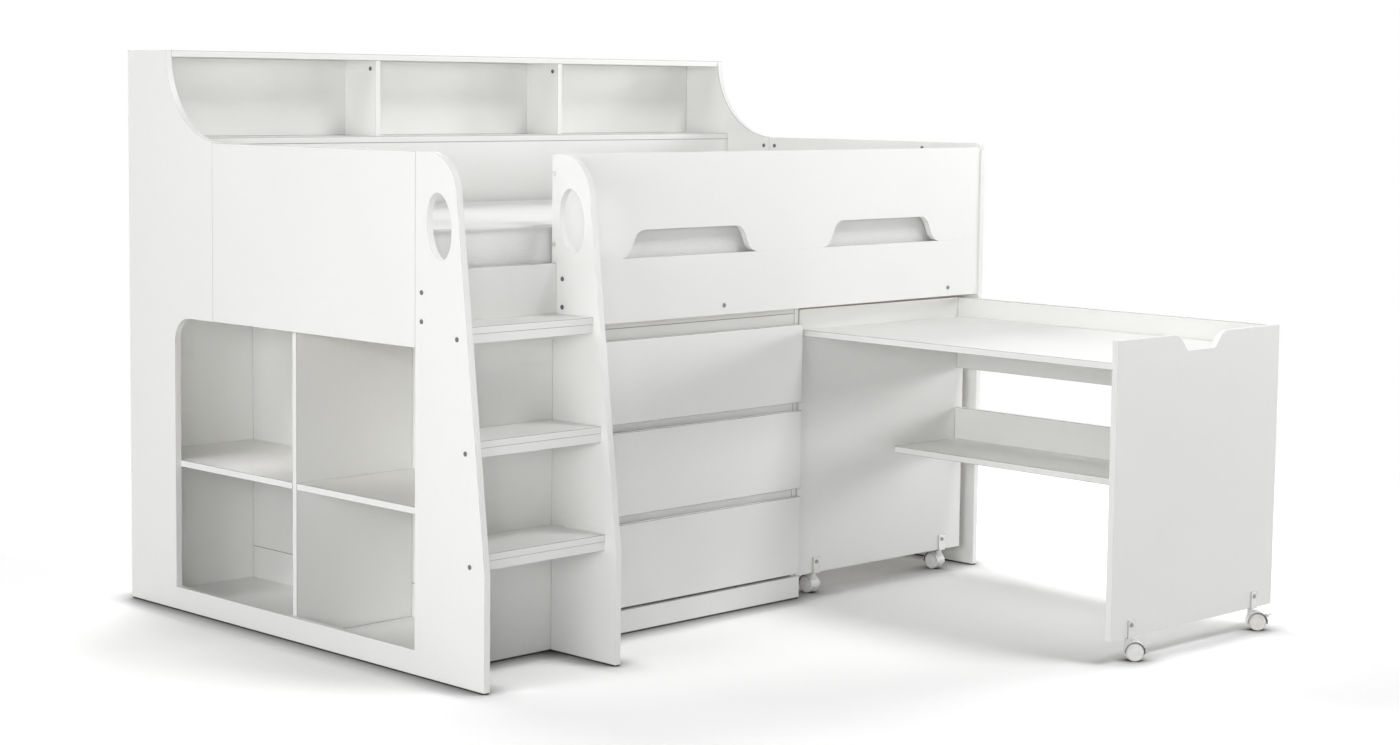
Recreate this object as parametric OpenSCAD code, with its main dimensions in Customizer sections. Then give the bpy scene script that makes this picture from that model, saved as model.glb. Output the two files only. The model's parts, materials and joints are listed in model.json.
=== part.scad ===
// Cabin bed for a single mattress: a raised bed with a ladder, an end cube store,
// a chest of three drawers, a long bookcase over the back and a desk on castors
// that parks under the bed, with its mattress. All sizes are in millimetres, +Z is up.

/* [Bed] */
// Length over both end panels
bed_l = 1950; // [1850:1:2150]
// Depth from the front rail's face to the rear edges of the ends
bed_w = 1146; // [1100:1:1250]
// Height of the end boards
end_h = 1149; // [1125:1:1250]
// Height of the bookcase's top
top_h = 1369; // [1300:1:1500]
// Thickness of every main board
board_t = 16; // [12:1:20]
// Width of the clear space for the mattress
mattress_gap = 906; // [880:1:950]

/* [Side rails and guards] */
// Height of the side rails' lower edges
rail_low = 744; // [740:1:800]
// Depth of the side rails
rail_d = 149; // [120:1:160]
// Height of the front guard's top edge
guard_h = 1138; // [1080:1:1145]
// Width of a hand cut-out where it meets the rail
cutout_w = 470; // [300:1:560]
// Height of a hand cut-out
cutout_h = 66; // [50:1:110]
// Radius where a hand cut-out leaves the rail
cutout_foot_r = 40; // [15:1:44]
// Radius where a hand cut-out meets its top
cutout_top_r = 36; // [15:1:42]
// Distance from the guard's left end to the first cut-out's middle
cutout_first = 420; // [380:1:460]
// Distance between the two cut-outs' middles
cutout_pitch = 708; // [620:1:760]
// Height by which the rear guard reaches down behind the rear rail
guard_lap = 93; // [40:1:110]

/* [Ladder] */
// Clear width between the two stringers
ladder_w = 371; // [330:1:420]
// Reach of the stringers in front of the rail at the floor
foot_reach = 203; // [180:1:240]
// Reach of the leaning edge, if it ran on to the end boards' top
top_reach = 97; // [85:1:130]
// Height where the stringer's front edge starts to lean
kink_h = 257; // [150:1:400]
// Radius of the stringer's top front corner
stringer_r = 95; // [60:1:110]
// Height of the lowest tread's top
tread_low = 294; // [270:1:310]
// Height from one tread's top to the next
tread_rise = 242; // [220:1:246]
// Distance of the upper and middle treads' fronts behind the stringer's edge
tread_back = 19; // [8:1:34]
// Distance of the lowest tread's front behind the stringer's edge
low_tread_back = 32; // [8:1:44]
// Thickness of the bearer board under each tread
bearer_t = 19; // [14:1:26]
// Height of a porthole along the stringer
porthole_h = 146; // [90:1:170]
// Width of a porthole across the stringer
porthole_w = 80; // [50:1:90]
// Height of the portholes' middles
porthole_z = 990; // [960:1:1010]
// Distance of the stringers' rear edge from the portholes' middles
porthole_in = 66; // [60:1:72]

/* [Cube store] */
// Depth of the cubes along the bed
cube_depth = 344; // [280:1:350]
// Height of the opening's top
cube_top = 723; // [690:1:735]
// Height of the sill under the opening
cube_sill = 58; // [40:1:90]
// Distance of the opening's rear edge in front of the bed's rear edge
cube_post = 198; // [150:1:260]
// Radius of the opening's upper rear corner
cube_r = 58; // [20:1:90]
// Height of the middle shelves' top
cube_shelf_z = 370; // [300:1:450]
// Thickness of the base board
cube_base_t = 8; // [4:1:16]
// Height of the rail under the back panel
cube_back_rail_h = 90; // [60:1:140]

/* [Ends and bookcase] */
// Distance of the left end board's seam in front of the bed's rear edge
seam_in = 357; // [300:1:380]
// Distance of the right end's seam in front of the bed's rear edge
right_seam_in = 376; // [300:1:384]
// Distance of the bookcase's front in front of the bed's rear edge
bookcase_d = 165; // [140:1:200]
// Radius of the hollow curve between the end boards and the bookcase
curve_r = 219; // [120:1:219]
// Radius of the right end's top front corner
end_corner_r = 24; // [8:1:60]
// Amount by which the right end stands in front of the rails
end_proud = 3; // [0:1:10]
// Height of the bookcase shelf's top
bookcase_shelf_z = 1157; // [1150:1:1200]
// Distance of the bookcase's back board in front of the bed's rear edge
bookcase_back_in = 21; // [0:1:40]

/* [Slats] */
// Number of slats
slat_n = 13; // [10:1:18]
// Width of a slat
slat_w = 70; // [45:1:80]
// Thickness of a slat
slat_t = 15; // [12:1:24]
// Height of the cleats that the slats lie on
cleat_h = 25; // [18:1:40]
// Height of the cleats above the rails' lower edges
cleat_rise = 10; // [0:1:40]
// Thickness of the cleats
cleat_t = 20; // [15:1:30]

/* [Mattress] */
// Thickness of the mattress
mattress_t = 188; // [120:1:220]
// Gap between the mattress and each end of the bed
mattress_end_gap = 9; // [2:1:40]
// Gap between the mattress and each side rail
mattress_side_gap = 3; // [1:1:15]
// Radius of the mattress's upright corners
mattress_r = 45; // [10:1:90]

/* [Chest of drawers] */
// Gap between the right stringer and the chest
chest_gap = 3; // [3:1:8]
// Width of the chest
chest_w = 844; // [700:1:844]
// Depth of the chest's case behind the drawer fronts
chest_d = 464; // [440:1:600]
// Height of the chest
chest_h = 743; // [738:1:743]
// Distance of the drawer fronts behind the front rail's face
front_in = 20; // [16:1:40]
// Height of the plinth
plinth_h = 58; // [40:1:64]
// Height of a drawer front
front_h = 198; // [180:1:200]
// Thickness of a drawer front
front_t = 15; // [12:1:15]
// Finger gap above the lower two drawer fronts
finger_gap = 21; // [16:1:24]
// Gap between the plinth and the lowest drawer front
plinth_gap = 6; // [3:1:10]
// Height of a drawer's box
box_h = 140; // [100:1:160]
// Depth of a drawer's box
box_d = 400; // [300:1:420]
// Thickness of a drawer box's walls
box_t = 12; // [9:1:16]
// Thickness of a drawer's base
box_base_t = 5; // [3:1:8]
// Gap between a drawer box and the chest's side
runner_gap = 12.5; // [11:0.5:16]
// Distance that a drawer pulls out
drawer_travel = 330; // [250:1:340]

/* [Desk] */
// Gap between the desk and the bed's right end, beside the inner panel
desk_end_gap = 36; // [32:1:60]
// Length of the desk over its two end panels
desk_l = 994; // [800:1:1050]
// Height of the desk's end panels at their top
desk_h = 736; // [700:1:740]
// Height of the desk top's upper surface
desk_top_z = 684; // [640:1:700]
// Distance of the desk's inner panel behind the rail's face when pulled out
desk_park = 35; // [25:1:60]
// Angle by which the desk stands askew
desk_turn = 1.7; // [0:0.1:1.8]
// Distance of the desk top's front edge behind the panels' edges
desk_front_in = 13; // [0:1:30]
// Distance of the desk's back rail in front of the panels' rear edges
desk_rail_in = 10; // [0:1:30]
// Height of the back rail's lower edge
desk_rail_low = 545; // [500:1:600]
// Height of the desk's lower shelf
desk_shelf_z = 354; // [250:1:420]
// Width of the lower shelf
desk_shelf_w = 245; // [150:1:350]
// Distance of the shelf's rail in front of the panels' rear edges
shelf_rail_in = 13; // [0:1:40]
// Height of the shelf's rail above the shelf
shelf_rail_h = 84; // [40:1:120]
// Width of the hand notch over its lips
notch_w = 218; // [200:1:260]
// Depth of the hand notch
notch_d = 39; // [30:1:46]
// Radius of the hand notch's lips
notch_lip_r = 42; // [10:1:50]
// Radius at the hand notch's bottom corners
notch_low_r = 14; // [6:1:24]
// Clearance between the desk and the chest
desk_side_gap = 4; // [4:1:8]

/* [Castors] */
// Height from the floor to the desk panels' lower edges
castor_h = 55; // [52:1:70]
// Radius of a castor wheel
wheel_r = 21.5; // [18:0.5:22]
// Width of one wheel of a castor
wheel_w = 12.5; // [8:0.5:16]
// Distance from the swivel's axis to the wheels' axle
castor_trail = 16; // [12:1:20]
// Distance of the castors from the panels' edges
castor_in = 75; // [60:1:120]
// Radius of the castor's stem
stem_r = 4; // [3:0.5:5]
// Radius of the wheels' axle
axle_r = 3; // [2:0.5:4]
// Width of the castor's bracket
bracket_w = 24; // [20:1:36]
// Height of the bracket up the panel
bracket_h = 40; // [30:1:60]
// Thickness of the bracket
bracket_t = 2.5; // [1.5:0.5:4]

/* [Bolts] */
// Radius of a connector bolt's shank
bolt_r = 3; // [2:0.5:4]
// Radius of a connector bolt's head
bolt_head_r = 5.5; // [4.5:0.5:8]
// Thickness of a connector bolt's head
bolt_head_t = 1.5; // [1:0.5:3]
// Length of a connector bolt's shank
bolt_l = 46; // [30:1:60]
// Distance of the left slat cleat bolt from the side rail's left end
rail_bolt_left = 536; // [100:1:700]
// Distance of the right slat cleat bolt from the side rail's right end
rail_bolt_right = 129; // [100:1:600]
// Distance of the end boards' seam bolts from the seam
seam_bolt_in = 21; // [14:1:30]
// Distance of a guard bolt from the guard's top edge
guard_bolt_drop = 43; // [20:1:60]
// Distance of a rail bolt from the side rail's top edge
rail_bolt_drop = 48; // [25:1:55]
// Distance of a rail bolt from the side rail's lower edge
rail_bolt_rise = 50; // [25:1:60]

/* [Hidden] */

$fn = 48;

white = "#f4f4f1";
steel = "#b9bcc0";
pine = "#e6d3ac";
cloth = "#f2f2f0";
hood_grey = "#eceded";
wheel_grey = "#cfd0d0";

// Clearances
fit = 0.05;        // running clearance of a shaft in its bore
slide_fit = 0.3;   // running clearance of a drawer's runner strip
bore_gap = 0.2;    // clearance of a bolt in its bore
seat = 0.1;        // gap between two pieces of a drawer or a wheel set that are joined
eps = 0.5;         // overrun of a cutter past the face that it cuts
arc_steps = 12;

// Stations along X, from the left end's outer face
in_l = board_t;                              // left end's inner face
in_r = bed_l - board_t;                      // right end's inner face
stringer_x = in_l + ladder_w;                // right stringer's left face
rail_x = stringer_x + board_t;               // left ends of the front rail and guard
chest_x = rail_x + chest_gap;                // chest's left face
chest_r = chest_x + chest_w;                 // chest's right face
desk_w = in_r - chest_r - desk_side_gap - desk_end_gap;  // width of the desk
desk_x = 0;                                  // desk's left edge, in the desk's own frame
desk_r = desk_w;                             // desk's right edge, in the desk's own frame
cube_back_x = in_l + cube_depth;             // cube store's back panel

// Stations along Y, from the front rail's face
seam_y = bed_w - seam_in;                    // seam between the left end board and the rear upright
right_seam_y = bed_w - right_seam_in;        // seam between the right end's two boards
shelf_front = board_t + mattress_gap + board_t;  // rear guard's face and bookcase shelf's front
rear_rail_y = board_t + mattress_gap;        // rear side rail's face
case_front = bed_w - bookcase_d;             // bookcase's front above its shelf
case_back_y = bed_w - bookcase_back_in;      // bookcase back board's rear face
stringer_back = board_t;                     // right stringer's rear edge
left_back = board_t + 14;                    // left stringer's rear edge, behind the ladder's back panel
panel_y = 10;                                // ladder back panel's front face
cube_open_r = bed_w - cube_post;             // cube opening's rear edge
divider_y = (panel_y + cube_open_r) / 2;     // cube divider's front face
carcass_y = front_in + board_t;              // chest sides' front edges
carcass_back = carcass_y + chest_d;
desk_back_y = board_t;                       // desk inner panel's rear face, in the desk's frame
desk_front_y = board_t - desk_l;             // desk outer panel's outer face, in the desk's frame
desk_corner = [chest_r + desk_side_gap, desk_park];  // left front corner of the desk's inner panel

// Stations along Z
seam_z = rail_low + rail_d;
cutout_slope = 64;                           // steepest slope of a cut-out's ends
notch_slope = 47;                            // slope of the hand notch's ends
shelf_low = bookcase_shelf_z - board_t;
top_low = top_h - board_t;
cleat_z = [rail_low + cleat_rise, rail_low + cleat_rise + cleat_h];
slat_z = cleat_z[1];

// Chest levels
chest_top_low = chest_h - board_t;
rail_lap = 2;                                // height by which a rail reaches behind a drawer front
drawer_z = [for (i = [0:2]) plinth_h + plinth_gap + i * (front_h + finger_gap)];
top_rail_low = drawer_z[2] + front_h - rail_lap;
box_lift = 26;                               // height of a drawer box above its front's lower edge
base_rise = 8;                               // height of a drawer's base in its box
box_x0 = chest_x + board_t + runner_gap;
box_x1 = chest_r - board_t - runner_gap;
strip_h = 18;                                // height of a drawer's runner strip
strip_lift = 48;                             // height of the strip above the box's lower edge
channel_t = 1.5;                             // thickness of a runner channel
box_y0 = front_in + front_t;
front_gap_y = carcass_y - box_y0;            // gap between the drawer fronts and the chest's case

// Ladder: front edge of the stringers at a height
lean = (foot_reach - top_reach) / (end_h - kink_h);
function edge_y(z) = -foot_reach + max(0, z - kink_h) * lean;
lean_angle = atan(lean);
tread_z = [for (i = [0:2]) tread_low + i * tread_rise];
tread_setback = [low_tread_back, tread_back, tread_back];
function tread_front(i) = edge_y(tread_z[i]) + tread_setback[i];

// Castors: stem places and headings of the trail
stem_y = [desk_front_y + board_t / 2, desk_back_y - board_t / 2];
stem_x = [desk_x + castor_in, desk_r - castor_in];
heading = [-45, 90];                          // outer and inner castors
hood_gap = 1;                                // gap between the wheels and the hood's cover
hood_t = 1.6;                                // thickness of the hood's cover
hood_r = wheel_r + hood_gap + hood_t;
web_t = 6;                                   // thickness of the hood's middle web
wheel_gap = 0.4;                             // gap between a wheel and the web
hood_w = web_t + 2 * (wheel_gap + wheel_w);
stem_l = 22;                                 // length of the stem in the panel
flange_low = castor_h - bracket_t;           // lower face of the bracket's flange
brake_w = 9;                                 // width of the brake pedal
brake_l = 12;                                // length of the brake pedal from its pin
brake_pin_r = 1.5;
brake_lug_r = 4;
brake_lug_t = 2;
brake_out = hood_r + 3.2;                    // distance from the axle to the brake's pin
brake_angle = 30;                            // angle of the brake's pin above the axle
screw_z = castor_h + bracket_h - 12;         // height of the bracket's screw
screw_l = bracket_t + 12;

// Part's origin: middle of the footprint, with the desk pulled out
front_stem_y = desk_corner[1] - stem_x[1] * sin(desk_turn) + stem_y[0] * cos(desk_turn);
trail_angle = desk_turn - heading[0];
castor_front = (castor_trail + hood_r) * sin(trail_angle) + hood_w / 2 * cos(trail_angle);
origin_y = (bed_w + front_stem_y - castor_front) / 2;

// Points on an arc, from angle a0 to a1
function arc(c, r, a0, a1, n = arc_steps) =
    [for (i = [0:n]) c + r * [cos(a0 + (a1 - a0) * i / n), sin(a0 + (a1 - a0) * i / n)]];

// Closed outline from a run of points and its mirror image about X = cx
module mirrored_pair(cx, side) {
    polygon(concat(
        [for (p = side) [cx + p[0], p[1]]],
        [for (i = [len(side) - 1:-1:0]) [cx - side[i][0], side[i][1]]]
    ));
}

// Points of an ellipse whose long axis leans by an angle from vertical
function leaning_ellipse(c, w, h, lean_a, n = 48) =
    [for (i = [0:n - 1]) let (a = 360 * i / n, p = w / 2 * cos(a), q = h / 2 * sin(a))
        c + [p * cos(lean_a) + q * sin(lean_a), -p * sin(lean_a) + q * cos(lean_a)]];

module place() translate([-bed_l / 2, -origin_y, 0]) children();

// Puts a piece of the desk from the desk's own frame into the part
module on_desk() {
    place() translate([desk_corner[0], desk_corner[1], 0]) rotate([0, 0, -desk_turn]) children();
}

// Board between two corners
module board(x, y, z) translate([x[0], y[0], z[0]]) cube([x[1] - x[0], y[1] - y[0], z[1] - z[0]]);

// Outline in Y and Z, made into a board whose left face is at x
module upright(x, t = board_t) translate([x, 0, 0]) rotate([90, 0, 90]) linear_extrude(t) children();

// Outline in X and Z, made into a board whose front face is at y
module facing(y, t = board_t) translate([0, y + t, 0]) rotate([90, 0, 0]) linear_extrude(t) children();

// Cylinder along X from x0 to x1
module rod_x(x0, x1, y, z, r) translate([x0, y, z]) rotate([0, 90, 0]) cylinder(h = x1 - x0, r = r);

// Cylinder along Y from y0 to y1
module rod_y(x, y0, y1, z, r) translate([x, y0, z]) rotate([-90, 0, 0]) cylinder(h = y1 - y0, r = r);

// ---- Bolt places, as [y, z] on an upright board or [x, z] on a rail ----

mid_board = board_t / 2;
guard_bolt_z = guard_h - guard_bolt_drop;
rail_top_bolt_z = seam_z - rail_bolt_drop;
rail_low_bolt_z = rail_low + rail_bolt_rise;
riser_low_bolt_z = rail_low + 38;            // lower bolt of the ladder's riser
guard_low_bolt_z = seam_z + 42;              // lower bolt of the guard's left end
stringer_bolt_y = -20;                       // bolts in front of the side rail, inside the stringer
stringer_top_bolt_z = seam_z - 35;
tread_bolt_in = 12;                          // tread bolts behind the tread's front
edge_bolt_drop = 24;                         // seam bolts below the end boards' top
corner_bolt = [201, end_h - 17];             // bolt near the right end's top front corner
riser_bolts = [for (z = [rail_top_bolt_z, riser_low_bolt_z]) [mid_board, z]];
tread_bolts = [for (i = [0:2]) [tread_front(i) + tread_bolt_in, tread_z[i] - board_t - bearer_t / 2]];
guard_bolts = [for (z = [guard_bolt_z, guard_low_bolt_z]) [mid_board, z]];
stringer_bolts = [for (z = [stringer_top_bolt_z, rail_low_bolt_z]) [stringer_bolt_y, z]];
rail_bolts = [for (x = [rail_x + rail_bolt_left, in_r - rail_bolt_right]) [x, cleat_z[0] + cleat_h / 2]];
seam_bolts = [for (s = [-1, 1]) [right_seam_y + s * seam_bolt_in, end_h - edge_bolt_drop]];
divider_bolt = [case_front + seam_bolt_in, top_low - seam_bolt_in];
end_bolts = [for (z = [guard_bolt_z, rail_top_bolt_z, rail_low_bolt_z]) [mid_board, z]];

short_l = board_t - 4;                       // shank that stays inside one board

// Bolt whose head lies on the face at x, with its shank running toward dir
module bolt_x(x, p, dir, l = bolt_l) {
    translate([x, p[0], p[1]]) rotate([0, 90 * dir, 0]) bolt(l);
}

module bolt_y(p, y, l = bolt_l) {
    translate([p[0], y, p[1]]) rotate([-90, 0, 0]) bolt(l);
}

// Bolt along +Z, with its head below the origin
module bolt(l) {
    difference() {
        union() {
            cylinder(h = l, r = bolt_r);
            translate([0, 0, -bolt_head_t]) cylinder(h = bolt_head_t, r = bolt_head_r);
        }
        translate([0, 0, -bolt_head_t - eps]) cylinder(h = bolt_head_t + eps, r = bolt_r * 0.7, $fn = 6);
    }
}

// Bores along X for a list of bolts, from x0 to x1
module bores_x(list, x0, x1) {
    for (p = list) rod_x(x0, x1, p[0], p[1], bolt_r + bore_gap);
}

// ---- Ends ----

// Outline of a whole end above the floor, with the hollow curve up to the bookcase
module end_outline(front) {
    difference() {
        polygon([[front, 0], [bed_w, 0], [bed_w, top_h], [front, top_h]]);
        polygon(concat(
            [[front - eps, top_h + eps], [front - eps, end_h]],
            arc([case_front - curve_r, end_h + curve_r], curve_r, -90, 0),
            [[case_front, top_h + eps]]
        ));
    }
}

// Outline of a stringer from the floor to its rounded top
module stringer_outline(top, back) {
    corner = [edge_y(top), top];
    turn = 90 - lean_angle;
    run = stringer_r * tan(turn / 2);
    centre = [corner[0] + run, top - stringer_r];
    polygon(concat(
        [[back, 0], [back, top]],
        arc(centre, stringer_r, 90, 180 - lean_angle),
        [[-foot_reach, kink_h], [-foot_reach, 0]]
    ));
}

module porthole(back) {
    polygon(leaning_ellipse([back - porthole_in, porthole_z], porthole_w, porthole_h, lean_angle));
}

// Cube opening, with its upper rear corner rounded
module cube_opening() {
    polygon(concat(
        [[left_back, cube_sill], [cube_open_r, cube_sill]],
        arc([cube_open_r - cube_r, cube_top - cube_r], cube_r, 0, 90),
        [[left_back, cube_top]]
    ));
}

// Region that the left end board takes
module end_board_region() {
    polygon([[left_back, cube_top], [seam_y, cube_top], [seam_y, top_h], [left_back, top_h]]);
}

module left_side_panel() color(white) place() {
    difference() {
        upright(0) difference() {
            union() {
                stringer_outline(end_h, left_back);
                difference() {
                    end_outline(left_back);
                    end_board_region();
                }
            }
            cube_opening();
            porthole(stringer_back);
        }
        bores_x(concat(riser_bolts, tread_bolts), -eps, board_t + eps);
    }
}

module left_end_board() color(white) place() {
    upright(0) intersection() {
        end_outline(left_back);
        end_board_region();
    }
}

module right_rear_side() color(white) place() {
    difference() {
        upright(in_r) intersection() {
            end_outline(left_back);
            polygon([[right_seam_y, 0], [bed_w, 0], [bed_w, top_h], [right_seam_y, top_h]]);
        }
        bores_x([seam_bolts[1]], in_r - eps, in_r + short_l + eps);
    }
}

module right_end_panel() color(white) place() {
    front = -end_proud;
    difference() {
        upright(in_r) difference() {
            intersection() {
                end_outline(front);
                polygon([[front, 0], [right_seam_y, 0], [right_seam_y, top_h], [front, top_h]]);
            }
            polygon(concat(
                arc([front + end_corner_r, end_h - end_corner_r], end_corner_r, 180, 90),
                [[front + end_corner_r, end_h + eps], [front - eps, end_h + eps],
                 [front - eps, end_h - end_corner_r]]
            ));
        }
        bores_x(end_bolts, in_r - eps, bed_l + eps);
        bores_x([seam_bolts[0], corner_bolt], in_r - eps, in_r + short_l + eps);
    }
}

// ---- Bookcase and rear boards ----

module bookcase_top() color(white) place() board([in_l, in_r], [case_front, bed_w], [top_low, top_h]);

module bookcase_shelf() color(white) place()
    board([in_l, in_r], [shelf_front, case_back_y], [shelf_low, bookcase_shelf_z]);

module bookcase_back() color(white) place()
    board([in_l, in_r], [case_back_y - board_t, case_back_y], [bookcase_shelf_z, top_low]);

bay_w = (in_r - in_l - 2 * board_t) / 3;
divider_x = [for (i = [1, 2]) in_l + i * bay_w + (i - 1) * board_t];

module bookcase_dividers() color(white) place() {
    for (x = divider_x) difference() {
        board([x, x + board_t], [case_front, case_back_y - board_t], [bookcase_shelf_z, top_low]);
        bores_x([divider_bolt], x - eps, x + short_l + eps);
    }
}

module rear_guard_board() color(white) place()
    board([in_l, in_r], [shelf_front, shelf_front + board_t], [seam_z - guard_lap, shelf_low]);

module rear_side_rail() color(white) place()
    board([in_l, in_r], [rear_rail_y, shelf_front], [rail_low, seam_z]);

// ---- Front rails ----

// One end of a hand hole: it leaves an edge at z with one radius, slopes by an angle
// and meets the flat far side, at a depth, with another radius
function s_end(half, z, up, depth, r_out, r_in, turn) =
    let (
        rise = depth - (r_out + r_in) * (1 - cos(turn)),
        run = (r_out + r_in) * sin(turn) + rise / tan(turn)
    )
    concat(
        [[half, z - up * eps]],
        arc([half, z + up * r_out], r_out, -up * 90, -up * (90 + turn)),
        arc([half - run, z + up * (depth - r_in)], r_in, up * (90 - turn), up * 90)
    );

// Hand cut-out over the side rail, with S-shaped ends
module cutout(cx)
    mirrored_pair(cx, s_end(cutout_w / 2, seam_z, 1, cutout_h, cutout_foot_r, cutout_top_r, cutout_slope));

module front_guard_rail() color(white) place() {
    difference() {
        facing(0) difference() {
            polygon([[rail_x, seam_z], [in_r, seam_z], [in_r, guard_h], [rail_x, guard_h]]);
            for (i = [0, 1]) cutout(rail_x + cutout_first + i * cutout_pitch);
        }
        bores_x(guard_bolts, rail_x - eps, stringer_x + bolt_l + eps);
        bores_x([end_bolts[0]], bed_l - bolt_l - eps, in_r + eps);
    }
}

module front_side_rail() color(white) place() {
    difference() {
        board([rail_x, in_r], [0, board_t], [rail_low, seam_z]);
        bores_x([end_bolts[1], end_bolts[2]], bed_l - bolt_l - eps, in_r + eps);
        for (p = rail_bolts) rod_y(p[0], -eps, board_t + eps, p[1], bolt_r + bore_gap);
    }
}

// ---- Ladder ----

module right_stringer() color(white) place() {
    difference() {
        upright(stringer_x) difference() {
            stringer_outline(guard_h, stringer_back);
            porthole(stringer_back);
        }
        bores_x(concat(tread_bolts, guard_bolts), stringer_x - eps, rail_x + eps);
        bores_x(stringer_bolts, stringer_x - eps, stringer_x + short_l + eps);
    }
}

module ladder_riser() color(white) place() {
    difference() {
        board([in_l, stringer_x], [0, board_t], [rail_low, seam_z]);
        bores_x(riser_bolts, in_l - eps, bolt_l + eps);
    }
}

module ladder_back_panel() color(white) place()
    board([in_l, stringer_x], [panel_y, panel_y + board_t], [0, rail_low]);

module tread(i) {
    back = tread_z[i] > rail_low ? 0 : panel_y;
    board([in_l, stringer_x], [tread_front(i), back], [tread_z[i] - board_t, tread_z[i]]);
}

module upper_tread() color(white) place() tread(2);

module middle_tread() color(white) place() tread(1);

module lower_tread() color(white) place() tread(0);

module tread_bearers() color(white) place() {
    for (i = [0:2]) {
        top = tread_z[i] - board_t;
        back = top > rail_low ? 0 : panel_y;
        difference() {
            board([in_l, stringer_x], [tread_front(i), back], [top - bearer_t, top]);
            bores_x([tread_bolts[i]], in_l - eps, bolt_l + eps);
            bores_x([tread_bolts[i]], rail_x - bolt_l - eps, stringer_x + eps);
        }
    }
}

// ---- Slats ----

module slat_cleats() color(pine) place() {
    difference() {
        board([in_l, in_r], [board_t, board_t + cleat_t], cleat_z);
        for (p = rail_bolts) rod_y(p[0], board_t - eps, board_t + cleat_t + eps, p[1], bolt_r + bore_gap);
    }
    board([in_l, in_r], [rear_rail_y - cleat_t, rear_rail_y], cleat_z);
}

slat_pitch = (in_r - in_l - slat_w) / slat_n;

module bed_slats() color(pine) place() {
    for (i = [0:slat_n - 1]) {
        x = in_l + slat_pitch * (i + 0.5);
        board([x, x + slat_w], [board_t + 1, rear_rail_y - 1], [slat_z, slat_z + slat_t]);
    }
}

// Single mattress, which lies on the slats
module mattress() color(cloth) place() {
    x = [in_l + mattress_end_gap, in_r - mattress_end_gap];
    y = [board_t + mattress_side_gap, rear_rail_y - mattress_side_gap];
    z = [slat_z + slat_t, slat_z + slat_t + mattress_t];
    board([x[0] + mattress_r, x[1] - mattress_r], y, z);
    board(x, [y[0] + mattress_r, y[1] - mattress_r], z);
    for (cx = [x[0] + mattress_r, x[1] - mattress_r], cy = [y[0] + mattress_r, y[1] - mattress_r])
        translate([cx, cy, z[0]]) cylinder(h = mattress_t, r = mattress_r);
}

// ---- Cube store ----

cube_wall_y = bed_w - board_t;

module cube_rear_wall() color(white) place()
    board([in_l, cube_back_x + board_t], [cube_wall_y, bed_w], [0, rail_low]);

cube_back = [cube_back_x, cube_back_x + board_t];
cube_inside = [panel_y + board_t, cube_wall_y];

module cube_back_panel() color(white) place() board(cube_back, cube_inside, [cube_back_rail_h, rail_low]);

module cube_back_rail() color(white) place() board(cube_back, cube_inside, [0, cube_back_rail_h]);

module cube_divider() color(white) place()
    board([in_l, cube_back_x], [divider_y, divider_y + board_t], [cube_base_t, rail_low]);

module cube_shelves() color(white) place() {
    z = [cube_shelf_z - board_t, cube_shelf_z];
    board([in_l, cube_back_x], [cube_inside[0], divider_y], z);
    board([in_l, cube_back_x], [divider_y + board_t, cube_inside[1]], z);
}

module cube_base() color(white) place() board([in_l, cube_back_x], cube_inside, [0, cube_base_t]);

// ---- Chest ----

module chest_sides() color(white) place() {
    for (x = [chest_x, chest_r - board_t])
        board([x, x + board_t], [carcass_y, carcass_back], [0, chest_h]);
}

module chest_top() color(white) place()
    board([chest_x + board_t, chest_r - board_t], [carcass_y, carcass_back], [chest_top_low, chest_h]);

module chest_top_rail() color(white) place()
    board([chest_x + board_t, chest_r - board_t], [carcass_y, carcass_y + board_t],
          [top_rail_low, chest_top_low]);

// Rails behind the finger gaps, between the drawers
module chest_rails() color(white) place() {
    for (i = [0, 1])
        board([chest_x + board_t, chest_r - board_t], [carcass_y, carcass_y + board_t],
              [drawer_z[i] + front_h - rail_lap, drawer_z[i + 1] + rail_lap]);
}

module chest_back() color(white) place()
    board([chest_x + board_t, chest_r - board_t], [carcass_back - box_base_t, carcass_back],
          [0, chest_top_low]);

module chest_plinth() color(white) place()
    board([chest_x, chest_r], [front_in, carcass_y], [0, plinth_h]);

// Channel on the chest's side, with its mouth toward the drawer
module runner_channel(z) {
    depth = runner_gap - 1;
    difference() {
        board([0, depth], [carcass_y + 2, carcass_y + 2 + box_d], [z - slide_fit - channel_t,
              z + strip_h + slide_fit + channel_t]);
        board([channel_t, depth + eps], [carcass_y, carcass_y + box_d + 4], [z - slide_fit,
              z + strip_h + slide_fit]);
    }
}

module drawer_runners() color(steel) place() {
    for (z = drawer_z) {
        strip_z = z + box_lift + strip_lift;
        translate([chest_x + board_t, 0, 0]) runner_channel(strip_z);
        translate([chest_r - board_t, 0, 0]) mirror([1, 0, 0]) runner_channel(strip_z);
    }
}

module drawer_front(i) {
    board([chest_x, chest_r], [front_in, box_y0], [drawer_z[i], drawer_z[i] + front_h]);
}

// Two sides with their runner strips, a back and a base, each its own board
module drawer_box(i) {
    z = drawer_z[i] + box_lift;
    y0 = box_y0 + seat;
    y1 = box_y0 + box_d;
    inner = [box_x0 + box_t + seat, box_x1 - box_t - seat];
    reach = runner_gap - channel_t - slide_fit;
    for (x = [box_x0, box_x1 - box_t])
        board([x, x + box_t], [y0, y1], [z, z + box_h]);
    board(inner, [y1 - box_t, y1], [z, z + box_h]);
    board(inner, [y0, y1 - box_t - seat], [z + base_rise, z + base_rise + box_base_t]);
    for (x = [box_x0 - reach, box_x1 + seat])
        board([x, x + reach - seat], [carcass_y + 4, y1 - 2],
              [z + strip_lift, z + strip_lift + strip_h]);
}

module top_drawer_front() color(white) place() drawer_front(2);

module middle_drawer_front() color(white) place() drawer_front(1);

module bottom_drawer_front() color(white) place() drawer_front(0);

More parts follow.
